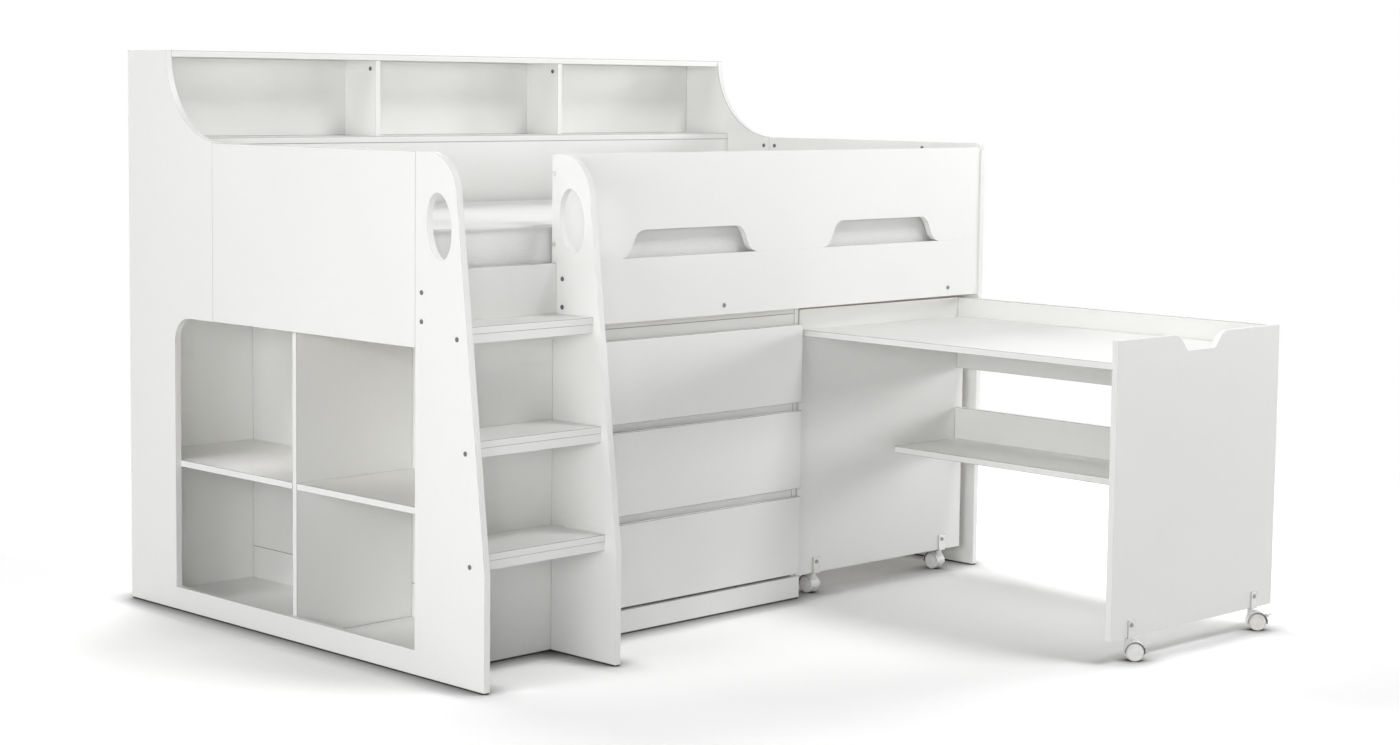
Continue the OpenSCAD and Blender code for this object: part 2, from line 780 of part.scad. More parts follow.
module top_drawer_box() color(white) place() drawer_box(2);

module middle_drawer_box() color(white) place() drawer_box(1);

module bottom_drawer_box() color(white) place() drawer_box(0);

// ---- Bolts of the bed ----

module bed_bolts() color(steel) place() {
    for (p = concat(riser_bolts, tread_bolts)) bolt_x(0, p, 1);
    for (p = tread_bolts) bolt_x(rail_x, p, -1);
    for (p = guard_bolts) bolt_x(stringer_x, p, 1);
    for (p = stringer_bolts) bolt_x(stringer_x, p, 1, short_l);
    for (p = end_bolts) bolt_x(bed_l, p, -1);
    for (p = concat(seam_bolts, [corner_bolt])) bolt_x(in_r, p, 1, short_l);
    for (x = divider_x) bolt_x(x, divider_bolt, 1, short_l);
    for (p = rail_bolts) bolt_y(p, 0, board_t + cleat_t);
}

// ---- Desk ----

panel_z = [castor_h, desk_h];

module desk_panel(y) {
    difference() {
        facing(y) children();
        for (x = stem_x) {
            translate([x, y + board_t / 2, castor_h - eps])
                cylinder(h = stem_l + 1 + eps, r = stem_r + fit);
            rod_y(x, y - eps, y + screw_l - bracket_t + eps, screw_z, bolt_r + bore_gap);
        }
    }
}

// Hand notch, with rounded lips and a flat bottom
module hand_notch()
    mirrored_pair(
        desk_x + desk_w / 2,
        s_end(notch_w / 2, desk_h, -1, notch_d, notch_lip_r, notch_low_r, notch_slope)
    );

module desk_outer_panel() color(white) on_desk() {
    desk_panel(desk_front_y) difference() {
        polygon([[desk_x, castor_h], [desk_r, castor_h], [desk_r, desk_h], [desk_x, desk_h]]);
        hand_notch();
    }
}

module desk_inner_panel() color(white) on_desk() {
    desk_panel(desk_back_y - board_t)
        polygon([[desk_x, castor_h], [desk_r, castor_h], [desk_r, desk_h], [desk_x, desk_h]]);
}

between_panels = [desk_front_y + board_t, desk_back_y - board_t];
rail_r = desk_r - desk_rail_in;

module desk_top() color(white) on_desk()
    board([desk_x + desk_front_in, rail_r - board_t], between_panels, [desk_top_z - board_t, desk_top_z]);

module desk_back_rail() color(white) on_desk()
    board([rail_r - board_t, rail_r], between_panels, [desk_rail_low, desk_h]);

shelf_r = desk_r - shelf_rail_in;

module desk_shelf() color(white) on_desk()
    board([shelf_r - board_t - desk_shelf_w, shelf_r - board_t], between_panels,
          [desk_shelf_z - board_t, desk_shelf_z]);

module desk_shelf_rail() color(white) on_desk()
    board([shelf_r - board_t, shelf_r], between_panels,
          [desk_shelf_z - board_t, desk_shelf_z + shelf_rail_h]);

// ---- Castors ----

// Angle bracket with its upright leaf on the panel's outer face at y
module castor_bracket(x, y) {
    sides = [x - bracket_w / 2, x + bracket_w / 2];
    difference() {
        union() {
            board(sides, [y - bracket_t, y], [flange_low, castor_h + bracket_h]);
            board(sides, [y - bracket_t, y + board_t], [flange_low, castor_h]);
        }
        translate([x, y + board_t / 2, flange_low - eps])
            cylinder(h = bracket_t + 2 * eps, r = stem_r + fit);
        rod_y(x, y - bracket_t - eps, y + eps, screw_z, bolt_r + bore_gap);
    }
}

panel_faces = [desk_front_y, desk_back_y - board_t];

module castor_brackets() color(steel) on_desk() {
    for (x = stem_x)
        for (y = panel_faces) castor_bracket(x, y);
}

module castor_screws() color(steel) on_desk() {
    for (x = stem_x)
        for (y = panel_faces) bolt_y([x, screw_z], y - bracket_t, screw_l);
}

// Places a castor piece: stem on Z at the origin, wheels trailing along +X
module castor_at(i, j) {
    translate([stem_x[i], stem_y[j], 0]) rotate([0, 0, heading[j]]) children();
}

// Disc about the axle, from y0 to y1
module about_axle(y0, y1, r) {
    translate([castor_trail, y0, wheel_r]) rotate([-90, 0, 0]) cylinder(h = y1 - y0, r = r);
}

// Cylinder along the brake's pin, from y0 to y1
module about_pin(y0, y1, r) {
    translate([castor_trail + brake_out * cos(brake_angle), y0, wheel_r + brake_out * sin(brake_angle)])
        rotate([-90, 0, 0]) cylinder(h = y1 - y0, r = r);
}

neck_z = wheel_r + hood_r * 0.55;

module hood(braked) {
    side_w = (hood_w - web_t) / 2;
    difference() {
        union() {
            // cover over both wheels
            intersection() {
                about_axle(-hood_w / 2, hood_w / 2, hood_r);
                translate([castor_trail - hood_r - 1, -hood_w, wheel_r - 4])
                    cube([2 * hood_r + 2, 2 * hood_w, hood_r + 5]);
            }
            // middle web, which holds the axle
            intersection() {
                about_axle(-web_t / 2, web_t / 2, hood_r);
                translate([castor_trail - hood_r, -web_t, wheel_r - 9])
                    cube([2 * hood_r, 2 * web_t, hood_r + 10]);
            }
            // neck and stem
            translate([0, 0, neck_z]) cylinder(h = flange_low - slide_fit - neck_z, r = web_t + 1);
            translate([0, 0, neck_z]) cylinder(h = castor_h + stem_l - neck_z, r = stem_r);
            if (braked) for (y = [-brake_w / 2 - slide_fit - brake_lug_t, brake_w / 2 + slide_fit])
                about_pin(y, y + brake_lug_t, brake_lug_r);
        }
        about_axle(-web_t, web_t, axle_r + fit);
        for (y = [-side_w - web_t / 2 - eps, web_t / 2]) about_axle(y, y + side_w + eps, hood_r - hood_t);
        if (braked) about_pin(-brake_w, brake_w, brake_pin_r + fit);
    }
}

// Two wheels pressed on one axle
module wheels() {
    y0 = web_t / 2 + wheel_gap;
    for (y = [-y0 - wheel_w, y0]) difference() {
        about_axle(y, y + wheel_w, wheel_r);
        about_axle(y - eps, y + wheel_w + eps, axle_r + seat);
    }
    about_axle(-y0 - wheel_w, y0 + wheel_w, axle_r);
}

// Brake pedal on its pin
module brake() {
    pin_l = brake_w / 2 + slide_fit + brake_lug_t;
    about_pin(-pin_l, pin_l, brake_pin_r);
    about_pin(-brake_w / 2, brake_w / 2, brake_lug_r - 1.2);
    translate([castor_trail + brake_out * cos(brake_angle), 0, wheel_r + brake_out * sin(brake_angle)])
        rotate([0, -22, 0]) translate([1, -brake_w / 2 + 1, -1.2]) cube([brake_l - 1, brake_w - 2, 2.4]);
}

module outer_left_castor_hood() color(hood_grey) on_desk() castor_at(0, 0) hood(true);

module outer_right_castor_hood() color(hood_grey) on_desk() castor_at(1, 0) hood(true);

module inner_left_castor_hood() color(hood_grey) on_desk() castor_at(0, 1) hood(false);

module inner_right_castor_hood() color(hood_grey) on_desk() castor_at(1, 1) hood(false);

module outer_left_castor_wheels() color(wheel_grey) on_desk() castor_at(0, 0) wheels();

module outer_right_castor_wheels() color(wheel_grey) on_desk() castor_at(1, 0) wheels();

module inner_left_castor_wheels() color(wheel_grey) on_desk() castor_at(0, 1) wheels();

module inner_right_castor_wheels() color(wheel_grey) on_desk() castor_at(1, 1) wheels();

module outer_left_castor_brake() color(hood_grey) on_desk() castor_at(0, 0) brake();

module outer_right_castor_brake() color(hood_grey) on_desk() castor_at(1, 0) brake();

left_side_panel();
left_end_board();
right_rear_side();
right_end_panel();
right_stringer();
bookcase_top();
bookcase_shelf();
bookcase_back();
bookcase_dividers();
rear_guard_board();
rear_side_rail();
front_guard_rail();
front_side_rail();
ladder_riser();
ladder_back_panel();
upper_tread();
middle_tread();
lower_tread();
tread_bearers();
slat_cleats();
bed_slats();
mattress();
cube_rear_wall();
cube_back_panel();
cube_back_rail();
cube_divider();
cube_shelves();
cube_base();
chest_sides();
chest_top();
chest_top_rail();
chest_rails();
chest_back();
chest_plinth();
drawer_runners();
bed_bolts();
top_drawer_front();
middle_drawer_front();
bottom_drawer_front();
top_drawer_box();
middle_drawer_box();
bottom_drawer_box();
desk_top();
desk_outer_panel();
desk_inner_panel();
desk_back_rail();
desk_shelf();
desk_shelf_rail();
castor_brackets();
castor_screws();
outer_left_castor_hood();
outer_right_castor_hood();
inner_left_castor_hood();
inner_right_castor_hood();
outer_left_castor_wheels();
outer_right_castor_wheels();
inner_left_castor_wheels();
inner_right_castor_wheels();
outer_left_castor_brake();
outer_right_castor_brake();
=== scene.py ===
import json
import math

import bmesh
import bpy
from mathutils import Matrix, Vector


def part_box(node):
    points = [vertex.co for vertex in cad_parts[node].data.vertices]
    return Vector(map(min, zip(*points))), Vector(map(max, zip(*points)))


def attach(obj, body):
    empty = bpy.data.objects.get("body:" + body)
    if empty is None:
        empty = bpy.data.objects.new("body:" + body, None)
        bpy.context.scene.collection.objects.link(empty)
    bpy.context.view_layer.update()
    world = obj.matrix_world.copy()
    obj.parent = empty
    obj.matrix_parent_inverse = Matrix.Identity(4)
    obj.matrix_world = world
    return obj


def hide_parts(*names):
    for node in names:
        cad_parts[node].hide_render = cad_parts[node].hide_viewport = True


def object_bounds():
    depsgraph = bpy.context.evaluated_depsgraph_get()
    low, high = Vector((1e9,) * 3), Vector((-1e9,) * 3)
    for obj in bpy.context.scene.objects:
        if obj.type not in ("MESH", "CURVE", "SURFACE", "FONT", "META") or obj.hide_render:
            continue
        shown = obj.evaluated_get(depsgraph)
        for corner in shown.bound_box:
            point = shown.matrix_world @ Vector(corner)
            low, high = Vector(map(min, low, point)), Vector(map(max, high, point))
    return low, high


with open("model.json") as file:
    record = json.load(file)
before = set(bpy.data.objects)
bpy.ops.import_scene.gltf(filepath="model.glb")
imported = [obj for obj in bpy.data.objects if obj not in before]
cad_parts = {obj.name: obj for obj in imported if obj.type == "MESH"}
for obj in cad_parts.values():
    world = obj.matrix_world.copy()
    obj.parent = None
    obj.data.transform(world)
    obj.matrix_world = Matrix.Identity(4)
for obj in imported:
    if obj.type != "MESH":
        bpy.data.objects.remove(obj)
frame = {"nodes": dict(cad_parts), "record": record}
cad_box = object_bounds()
nodes = frame["nodes"]

BOARD_NODES = [
    "left_side_panel", "left_end_board", "right_rear_side", "right_end_panel", "right_stringer",
    "bookcase_top", "bookcase_shelf", "bookcase_back", "bookcase_dividers",
    "rear_guard_board", "rear_side_rail", "front_guard_rail", "front_side_rail",
    "ladder_riser", "ladder_back_panel", "upper_tread", "middle_tread", "lower_tread", "tread_bearers",
    "cube_rear_wall", "cube_back_panel", "cube_back_rail", "cube_divider", "cube_shelves", "cube_base",
    "chest_sides", "chest_top", "chest_top_rail", "chest_rails", "chest_back", "chest_plinth",
    "top_drawer_front", "middle_drawer_front", "bottom_drawer_front",
    "top_drawer_box", "middle_drawer_box", "bottom_drawer_box",
    "desk_top", "desk_outer_panel", "desk_inner_panel", "desk_back_rail", "desk_shelf", "desk_shelf_rail",
]
PINE_NODES = ["slat_cleats", "bed_slats"]
CORNERS = ["outer_left", "outer_right", "inner_left", "inner_right"]

# what the record says of each node and hinge
BODY_OF = {n: b for b, members in frame["record"]["behaviour"]["bodies"].items() for n in members}
HINGES = {j["name"]: j for j in frame["record"]["behaviour"]["joints"] if j["type"] == "hinge"}


# ---- Materials ----

def new_material(name, color, roughness, specular=0.5, metallic=0.0):
    """A material, with its node tree and its shader."""
    m = bpy.data.materials.new(name)
    m.use_nodes = True
    b = m.node_tree.nodes["Principled BSDF"]
    b.inputs["Base Color"].default_value = (*color, 1)
    b.inputs["Roughness"].default_value = roughness
    b.inputs["Specular IOR Level"].default_value = specular
    b.inputs["Metallic"].default_value = metallic
    return m, m.node_tree, b


def noise(tree, coords, scale, detail=3.0, stretch=None, rough=0.5):
    """A noise texture; stretch scales its coordinates along each axis."""
    n = tree.nodes.new("ShaderNodeTexNoise")
    n.inputs["Scale"].default_value = scale
    n.inputs["Detail"].default_value = detail
    n.inputs["Roughness"].default_value = rough
    source = coords
    if stretch:
        mapping = tree.nodes.new("ShaderNodeMapping")
        mapping.inputs["Scale"].default_value = stretch
        tree.links.new(coords, mapping.inputs["Vector"])
        source = mapping.outputs["Vector"]
    tree.links.new(source, n.inputs["Vector"])
    return n.outputs["Fac"]


def ramp(tree, fac, stops):
    """A colour ramp from (position, colour) stops."""
    r = tree.nodes.new("ShaderNodeValToRGB")
    r.color_ramp.elements[0].position = stops[0][0]
    r.color_ramp.elements[0].color = (*stops[0][1], 1)
    r.color_ramp.elements[1].position = stops[-1][0]
    r.color_ramp.elements[1].color = (*stops[-1][1], 1)
    for p, c in stops[1:-1]:
        e = r.color_ramp.elements.new(p)
        e.color = (*c, 1)
    tree.links.new(fac, r.inputs["Fac"])
    return r.outputs["Color"]


def spread(tree, fac, low, high):
    """0 to 1 turned into low to high."""
    m = tree.nodes.new("ShaderNodeMapRange")
    m.inputs["To Min"].default_value = low
    m.inputs["To Max"].default_value = high
    tree.links.new(fac, m.inputs["Value"])
    return m.outputs["Result"]


def bump(tree, bsdf, height, strength, distance):
    """Relief on the shader's normal."""
    b = tree.nodes.new("ShaderNodeBump")
    b.inputs["Strength"].default_value = strength
    b.inputs["Distance"].default_value = distance
    tree.links.new(height, b.inputs["Height"])
    tree.links.new(b.outputs["Normal"], bsdf.inputs["Normal"])


def product(tree, a, b):
    """Two colours multiplied."""
    mix = tree.nodes.new("ShaderNodeMix")
    mix.data_type = "RGBA"
    mix.blend_type = "MULTIPLY"
    mix.inputs["Factor"].default_value = 1.0
    tree.links.new(a, mix.inputs["A"])
    tree.links.new(b, mix.inputs["B"])
    return mix.outputs["Result"]


def object_coords(tree):
    """The object's own coordinates, in metres."""
    return tree.nodes.new("ShaderNodeTexCoord").outputs["Object"]


def scaled(color, k):
    """A colour made lighter or darker."""
    return tuple(c * k for c in color)


WHITE = (0.898, 0.900, 0.884)


def melamine(name, color, roughness, grain_axis):
    """White melamine foil: a faint pressed grain along one axis, and a satin sheen that varies a little."""
    m, tree, b = new_material(name, color, roughness)
    co = object_coords(tree)
    stretch = [16.0, 16.0, 16.0]
    stretch[grain_axis] = 1.0
    grain = noise(tree, co, scale=34.0, detail=5.0, stretch=stretch, rough=0.62)
    patches = noise(tree, co, scale=2.4, detail=2.0)
    fine = ramp(tree, grain, [(0.3, scaled(color, 0.975)), (0.7, color)])
    broad = ramp(tree, patches, [(0.3, (0.985, 0.985, 0.985)), (0.7, (1, 1, 1))])
    tree.links.new(product(tree, fine, broad), b.inputs["Base Color"])
    tree.links.new(spread(tree, grain, roughness - 0.05, roughness + 0.06), b.inputs["Roughness"])
    bump(tree, b, grain, strength=0.10, distance=0.0004)
    return m


def edge_band(name, color):
    """Plastic edge banding: smoother than the foil, with a very fine skin."""
    m, tree, b = new_material(name, color, roughness=0.34)
    co = object_coords(tree)
    fine = noise(tree, co, scale=520.0, detail=2.0)
    tree.links.new(ramp(tree, fine, [(0.35, scaled(color, 0.985)), (0.65, color)]), b.inputs["Base Color"])
    tree.links.new(spread(tree, fine, 0.28, 0.40), b.inputs["Roughness"])
    bump(tree, b, fine, strength=0.06, distance=0.0002)
    return m


def pine_wood(name, color):
    """Bare pine: rings stretched along Y, with darker late wood and fine pores."""
    m, tree, b = new_material(name, color, roughness=0.55, specular=0.35)
    co = object_coords(tree)
    rings = noise(tree, co, scale=9.0, detail=6.0, stretch=(9.0, 0.8, 9.0), rough=0.6)
    pores = noise(tree, co, scale=160.0, stretch=(9.0, 0.6, 9.0))
    tree.links.new(
        ramp(tree, rings, [(0.32, scaled(color, 0.78)), (0.5, color), (0.7, scaled(color, 1.08))]),
        b.inputs["Base Color"],
    )
    tree.links.new(spread(tree, pores, 0.45, 0.68), b.inputs["Roughness"])
    bump(tree, b, pores, strength=0.25, distance=0.0006)
    return m


def plated_steel(name, color, roughness):
    """Zinc-plated steel with fine scuffs."""
    m, tree, b = new_material(name, color, roughness, metallic=1.0)
    co = object_coords(tree)
    scuffs = noise(tree, co, scale=420.0, detail=4.0, stretch=(1.0, 1.0, 5.0))
    tree.links.new(ramp(tree, scuffs, [(0.3, scaled(color, 0.86)), (0.7, color)]), b.inputs["Base Color"])
    tree.links.new(spread(tree, scuffs, roughness - 0.08, roughness + 0.12), b.inputs["Roughness"])
    bump(tree, b, scuffs, strength=0.1, distance=0.0003)
    return m


def moulded_plastic(name, color, roughness):
    """Moulded plastic: a finely grained skin and soft clouds in its colour."""
    m, tree, b = new_material(name, color, roughness)
    co = object_coords(tree)
    skin = noise(tree, co, scale=900.0, detail=2.0)
    clouds = noise(tree, co, scale=60.0, detail=2.0)
    tree.links.new(ramp(tree, clouds, [(0.3, scaled(color, 0.96)), (0.7, color)]), b.inputs["Base Color"])
    tree.links.new(spread(tree, skin, roughness - 0.06, roughness + 0.08), b.inputs["Roughness"])
    bump(tree, b, skin, strength=0.08, distance=0.0002)
    return m


# one foil for each axis, because the grain runs along a board's longest side
FOIL = [melamine("foil_grain_" + "xyz"[a], WHITE, 0.38, a) for a in range(3)]
EDGE = edge_band("edge_band", (0.868, 0.870, 0.855))
# a fine dark line on every eased board edge: partly the real joint of band and foil, partly painted shade for
# the dark lines that shading draws along the edges
JOINT_AND_SHADE = edge_band("band_joint_and_shade", (0.34, 0.335, 0.32))
# painted contact shadow: a near-black bevel along the edges on which a board stands, where the floor meets it
PAINTED_CONTACT_SHADOW = moulded_plastic("painted_contact_shadow", (0.06, 0.06, 0.06), 0.7)
PINE = pine_wood("pine", (0.72, 0.56, 0.36))
STEEL = plated_steel("zinc_steel", (0.80, 0.80, 0.79), 0.36)
DARK_STEEL = plated_steel("bolt_steel", (0.22, 0.22, 0.235), 0.38)
BRACKET = plated_steel("bracket_steel", (0.60, 0.60, 0.585), 0.42)
SCREW = plated_steel("screw_steel", (0.34, 0.34, 0.34), 0.40)
HOOD = moulded_plastic("hood_plastic", (0.82, 0.82, 0.81), 0.32)
# painted shade: near black on the hood's inner faces and ends, for the dark gap between hood and wheels
HOOD_PAINTED_SHADE = moulded_plastic("hood_painted_shade", (0.05, 0.05, 0.05), 0.6)
TREAD = moulded_plastic("wheel_tread", (0.80, 0.79, 0.77), 0.55)
HUB = moulded_plastic("wheel_hub", (0.92, 0.90, 0.87), 0.42)

# plain colours for a solid view
for m in (FOIL[0], EDGE, PINE, STEEL):
    m.diffuse_color = (*m.node_tree.nodes["Principled BSDF"].inputs["Base Color"].default_value[:3], 1)


# ---- Boards: the CAD's solids with eased edges and edge banding ----

ALONG = 0.98              # cosine from which a normal counts as lying along an axis
SAME_WAY = 0.999          # cosine from which two normals count as one
WELD = 2e-6               # vertices closer than this are one
FLAT_ANGLE = 0.6          # degrees below which two faces count as one
SHARP_ANGLE = 32          # degrees from which an edge is eased


def islands(bm):
    """Connected groups of faces."""
    left = set(bm.faces)
    while left:
        stack = [left.pop()]
        group = [stack[0]]
        while stack:
            for e in stack.pop().edges:
                for f in e.link_faces:
                    if f in left:
                        left.discard(f)
                        group.append(f)
                        stack.append(f)
        yield group


def thin_axis(group):
    """The normal along which a board is thinnest."""
    verts = {v for f in group for v in f.verts}
    best = None
    seen = []
    for f in group:
        n = f.normal
        if any(abs(n.dot(o)) > SAME_WAY for o in seen):
            continue
        seen.append(n.copy())
        d = [n.dot(v.co) for v in verts]
        span = max(d) - min(d)
        if best is None or span < best[0] - 1e-5:
            best = (span, n.copy())
    return best[1]


def long_axis(group):
    """The axis along which a board is longest: 0, 1 or 2."""
    verts = [v.co for f in group for v in f.verts]
    spans = [max(c[i] for c in verts) - min(c[i] for c in verts) for i in range(3)]
    return spans.index(max(spans))


def clean_copy(node):
    """The node's solids as one closed mesh with flat faces in one piece each."""
    bm = bmesh.new()
    bm.from_mesh(nodes[node].data)
    bm.transform(nodes[node].matrix_world)
    bmesh.ops.remove_doubles(bm, verts=bm.verts, dist=WELD)
    bmesh.ops.dissolve_limit(
        bm, verts=bm.verts, edges=bm.edges,
        angle_limit=math.radians(FLAT_ANGLE), use_dissolve_boundaries=False,
    )
    bm.normal_update()
    return bm


def ease_edges(bm, width, segments=2, material=-1, below=None):
    """Bevels the sharp edges, or only those of them that lie below a height."""
    limit = math.radians(SHARP_ANGLE)
    sharp = [e for e in bm.edges if len(e.link_faces) == 2 and e.calc_face_angle(0) > limit]
    if below is not None:
        sharp = [e for e in sharp if max(v.co.z for v in e.verts) < below]
    if not sharp:
        return
    bmesh.ops.bevel(
        bm, geom=sharp, offset=width, offset_type="OFFSET", segments=segments, profile=0.5,
        affect="EDGES", clamp_overlap=True, material=material,
    )


def corner_normals(bm, angle):
    """One normal for each face corner: large faces stay flat, and narrow ones beside them take the turn."""
    bm.normal_update()
    limit = math.cos(math.radians(angle))
    # weights grow with the square of a face's area, in cm2
    weight = {f: (f.calc_area() * 1e4) ** 2 + 1e-9 for f in bm.faces}
    normals = []
    for f in bm.faces:
        for loop in f.loops:
            n = Vector((0, 0, 0))
            for g in loop.vert.link_faces:
                if g.normal.dot(f.normal) >= limit:
                    n += g.normal * weight[g]
            normals.append(n.normalized() if n.length > 0 else f.normal.copy())
    return normals


def finish_piece(bm, name, node, materials, smooth_angle=50):
    """Turns the mesh into a piece that stands for a CAD node and moves with it."""
    normals = corner_normals(bm, smooth_angle)
    mesh = bpy.data.meshes.new(name)
    bm.to_mesh(mesh)
    bm.free()
    obj = bpy.data.objects.new(name, mesh)
    bpy.context.collection.objects.link(obj)
    for m in materials:
        mesh.materials.append(m)
    mesh.shade_smooth()
    mesh.normals_split_custom_set(normals)
    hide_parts(node)
    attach(obj, BODY_OF[node])


# widths of eased edges
BOARD_EASE = 0.0009
CONTACT_SHADOW_WIDTH = 0.0034       # painted contact shadow: width of the dark bevel on the edges on which a board stands
PINE_EASE = 0.002
RUNNER_EASE = 0.0003
BRACKET_EASE = 0.0006
BOLT_EASE = 0.0005        # also on the castors' screws
HOOD_EASE = 0.0003
PEDAL_EASE = 0.0006

FLOOR_TOL = 0.001         # edges lower than this lie on the floor
BAND, JOINT_AND_SHADE_SLOT, CONTACT_SHADOW_SLOT = 3, 4, 5       # a board's material slots after the three of FOIL


def dressed_board(node):
    """A board in its foil, with banded edges, a fine dark line where they meet that is partly joint and
    partly painted shade, and a painted contact shadow along the edges it stands on.
    """
    bm = clean_copy(node)
    for group in islands(bm):
        thin = thin_axis(group)
        grain = long_axis(group)
        for f in group:
            f.material_index = grain if abs(f.normal.dot(thin)) > ALONG else BAND
    # painted contact shadow: a wider near-black bevel on the edges that lie on the floor
    ease_edges(bm, CONTACT_SHADOW_WIDTH, segments=1, material=CONTACT_SHADOW_SLOT, below=FLOOR_TOL)
    # the other sharp edges get a thin bevel in the dark line, partly joint and partly painted shade
    ease_edges(bm, BOARD_EASE, material=JOINT_AND_SHADE_SLOT)
    finish_piece(bm, node + "_dressed", node, FOIL + [EDGE, JOINT_AND_SHADE, PAINTED_CONTACT_SHADOW])


for n in BOARD_NODES:
    dressed_board(n)

for n in PINE_NODES:
    bm = clean_copy(n)
    ease_edges(bm, PINE_EASE, segments=3)
    finish_piece(bm, n + "_dressed", n, [PINE])


def plain_dress(node, materials, width):
    """A small part with eased edges, which take the last of its materials."""
    bm = clean_copy(node)
    ease_edges(bm, width, material=len(materials) - 1)
    finish_piece(bm, node + "_dressed", node, materials)


plain_dress("drawer_runners", [STEEL], RUNNER_EASE)
plain_dress("castor_brackets", [BRACKET, SCREW], BRACKET_EASE)


BOLT_REACH = 0.03         # how far the guard's own bolts lie from its left end


def bed_bolts():
    """Dark connector bolts; the two that hold the guard to the stringer are bright ones."""
    bm = clean_copy("bed_bolts")
    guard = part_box("front_guard_rail")[0]
    for group in islands(bm):
        verts = {v for f in group for v in f.verts}
        low = min(v.co.z for v in verts)
        left = min(v.co.x for v in verts)
        if low > guard[2] and abs(left - guard[0]) < BOLT_REACH:
            for f in group:
                f.material_index = 1
    ease_edges(bm, BOLT_EASE)
    finish_piece(bm, "bed_bolts_dressed", "bed_bolts", [DARK_STEEL, STEEL])


bed_bolts()
plain_dress("castor_screws", [SCREW], BOLT_EASE)


# ---- Mattress ----

def cloth(name, color, roughness, thread, sheen):
    """Woven or knitted cotton: crossed threads in the bump, soft clouds in the colour, and a light nap."""
    m, tree, b = new_material(name, color, roughness, specular=0.25)
    co = object_coords(tree)
    warp = noise(tree, co, scale=thread, detail=1.0, stretch=(1.0, 0.22, 1.0))
    weft = noise(tree, co, scale=thread, detail=1.0, stretch=(0.22, 1.0, 1.0))
    both = tree.nodes.new("ShaderNodeMath")
    both.operation = "MULTIPLY"
    tree.links.new(warp, both.inputs[0])
    tree.links.new(weft, both.inputs[1])
    clouds = noise(tree, co, scale=3.2)
    threads = ramp(tree, both.outputs[0], [(0.12, scaled(color, 0.93)), (0.4, color)])
    broad = ramp(tree, clouds, [(0.3, (0.975, 0.975, 0.97)), (0.7, (1, 1, 1))])
    tree.links.new(product(tree, threads, broad), b.inputs["Base Color"])
    tree.links.new(spread(tree, both.outputs[0], roughness - 0.08, roughness + 0.08), b.inputs["Roughness"])
    bump(tree, b, both.outputs[0], strength=0.35, distance=0.0008)
    b.inputs["Sheen Weight"].default_value = sheen
    b.inputs["Sheen Roughness"].default_value = 0.45
    return m


TICKING = cloth("mattress_ticking", (0.83, 0.83, 0.82), roughness=0.82, thread=900.0, sheen=0.12)
BORDER = cloth("mattress_border", (0.83, 0.83, 0.82), roughness=0.86, thread=620.0, sheen=0.12)
TAPE = cloth("mattress_tape", (0.85, 0.85, 0.84), roughness=0.62, thread=1300.0, sheen=0.06)
PANEL, SIDE, TAPED = 0, 1, 2          # the pad's material slots: ticking, border, tape

PAD_CORNER = 0.045        # radius of the upright corners
CORNER_STEPS = 10
PAD_STEP = 0.024          # distance of the points along a straight side
TAPE_R = 0.0042           # half the width of the edge tape
TAPE_DROP = 0.0062        # tape's middle below the highest point of the top
BORDER_BULGE = 0.0045     # how far the border swells between the tapes
BORDER_SINK = 0.0008      # by this it starts farther in
BORDER_IN = 1.5 * TAPE_R              # where the border meets a tape: how far in
BORDER_REACH = 1.35 * TAPE_R          # and how far from the tape's middle
BORDER_ROWS = 12
# rows of the top panel, from its middle line (1) out to its seam (0)
CROWN_ROWS = (1.0, 0.8, 0.62, 0.46, 0.33, 0.23, 0.15, 0.095, 0.055, 0.03)
CROWN_EDGE = 0.03         # width over which the top rises from its seam
DENT = 0.0006             # depth of the soft dents in the top
PUCKER = 0.0007           # and of the puckers in the border


def rounded_outline(lo, hi, radius, step):
    """Points and outward normals round a rectangle with round corners, about one for each step."""
    pts = []

    def on_arc(cx, cy, turn):
        normal = Vector((math.cos(turn), math.sin(turn)))
        return Vector((cx, cy)) + radius * normal, normal

    centres = [(hi[0] - radius, lo[1] + radius, -90), (hi[0] - radius, hi[1] - radius, 0),
               (lo[0] + radius, hi[1] - radius, 90), (lo[0] + radius, lo[1] + radius, 180)]
    for k, (cx, cy, start) in enumerate(centres):
        for i in range(CORNER_STEPS + 1):
            pts.append(on_arc(cx, cy, math.radians(start + 90 * i / CORNER_STEPS)))
        nx, ny, turn = centres[(k + 1) % 4]
        end = on_arc(nx, ny, math.radians(turn))[0]
        here, normal = pts[-1]
        n = max(2, round((end - here).length / step))
        pts += [(here.lerp(end, i / n), normal) for i in range(1, n)]
    return pts


def tape_arc(z, way, degrees):
    """Points round the tape at height z, over it (way 1) or under it (way -1)."""
    turns = [math.radians(d) for d in degrees]
    return [(TAPE_R - TAPE_R * math.cos(a), z + way * TAPE_R * math.sin(a), TAPED) for a in turns]


def pad_section(top_z, low_z):
    """One side from the top panel's seam down: how far in, height, material."""
    border_top = top_z - BORDER_REACH
    border_low = low_z + BORDER_REACH
    section = [(2.6 * TAPE_R, top_z + 0.0012, PANEL), (2.1 * TAPE_R, top_z - 0.0003, PANEL)]
    section += tape_arc(top_z, 1, (155, 120, 90, 60, 30, 0))
    section += [(0.35 * TAPE_R, top_z - 0.75 * TAPE_R, TAPED), (BORDER_IN, border_top, SIDE)]
    for i in range(1, BORDER_ROWS):
        u = i / BORDER_ROWS
        swell = BORDER_BULGE * (1 - abs(2 * u - 1) ** 2.4)
        section.append((BORDER_IN - swell + BORDER_SINK, border_top + (border_low - border_top) * u, SIDE))
    section += [(BORDER_IN, border_low, SIDE), (0.35 * TAPE_R, low_z + 0.75 * TAPE_R, TAPED)]
    section += tape_arc(low_z, -1, (0, 30, 60, 90))
    return section


def crown(u, inward):
    """How far the top has risen, as a share: u runs from seam to middle line, inward is in metres."""
    return 0.55 * (1 - math.exp(-inward / CROWN_EDGE)) + 0.45 * (1 - (1 - u) ** 2)


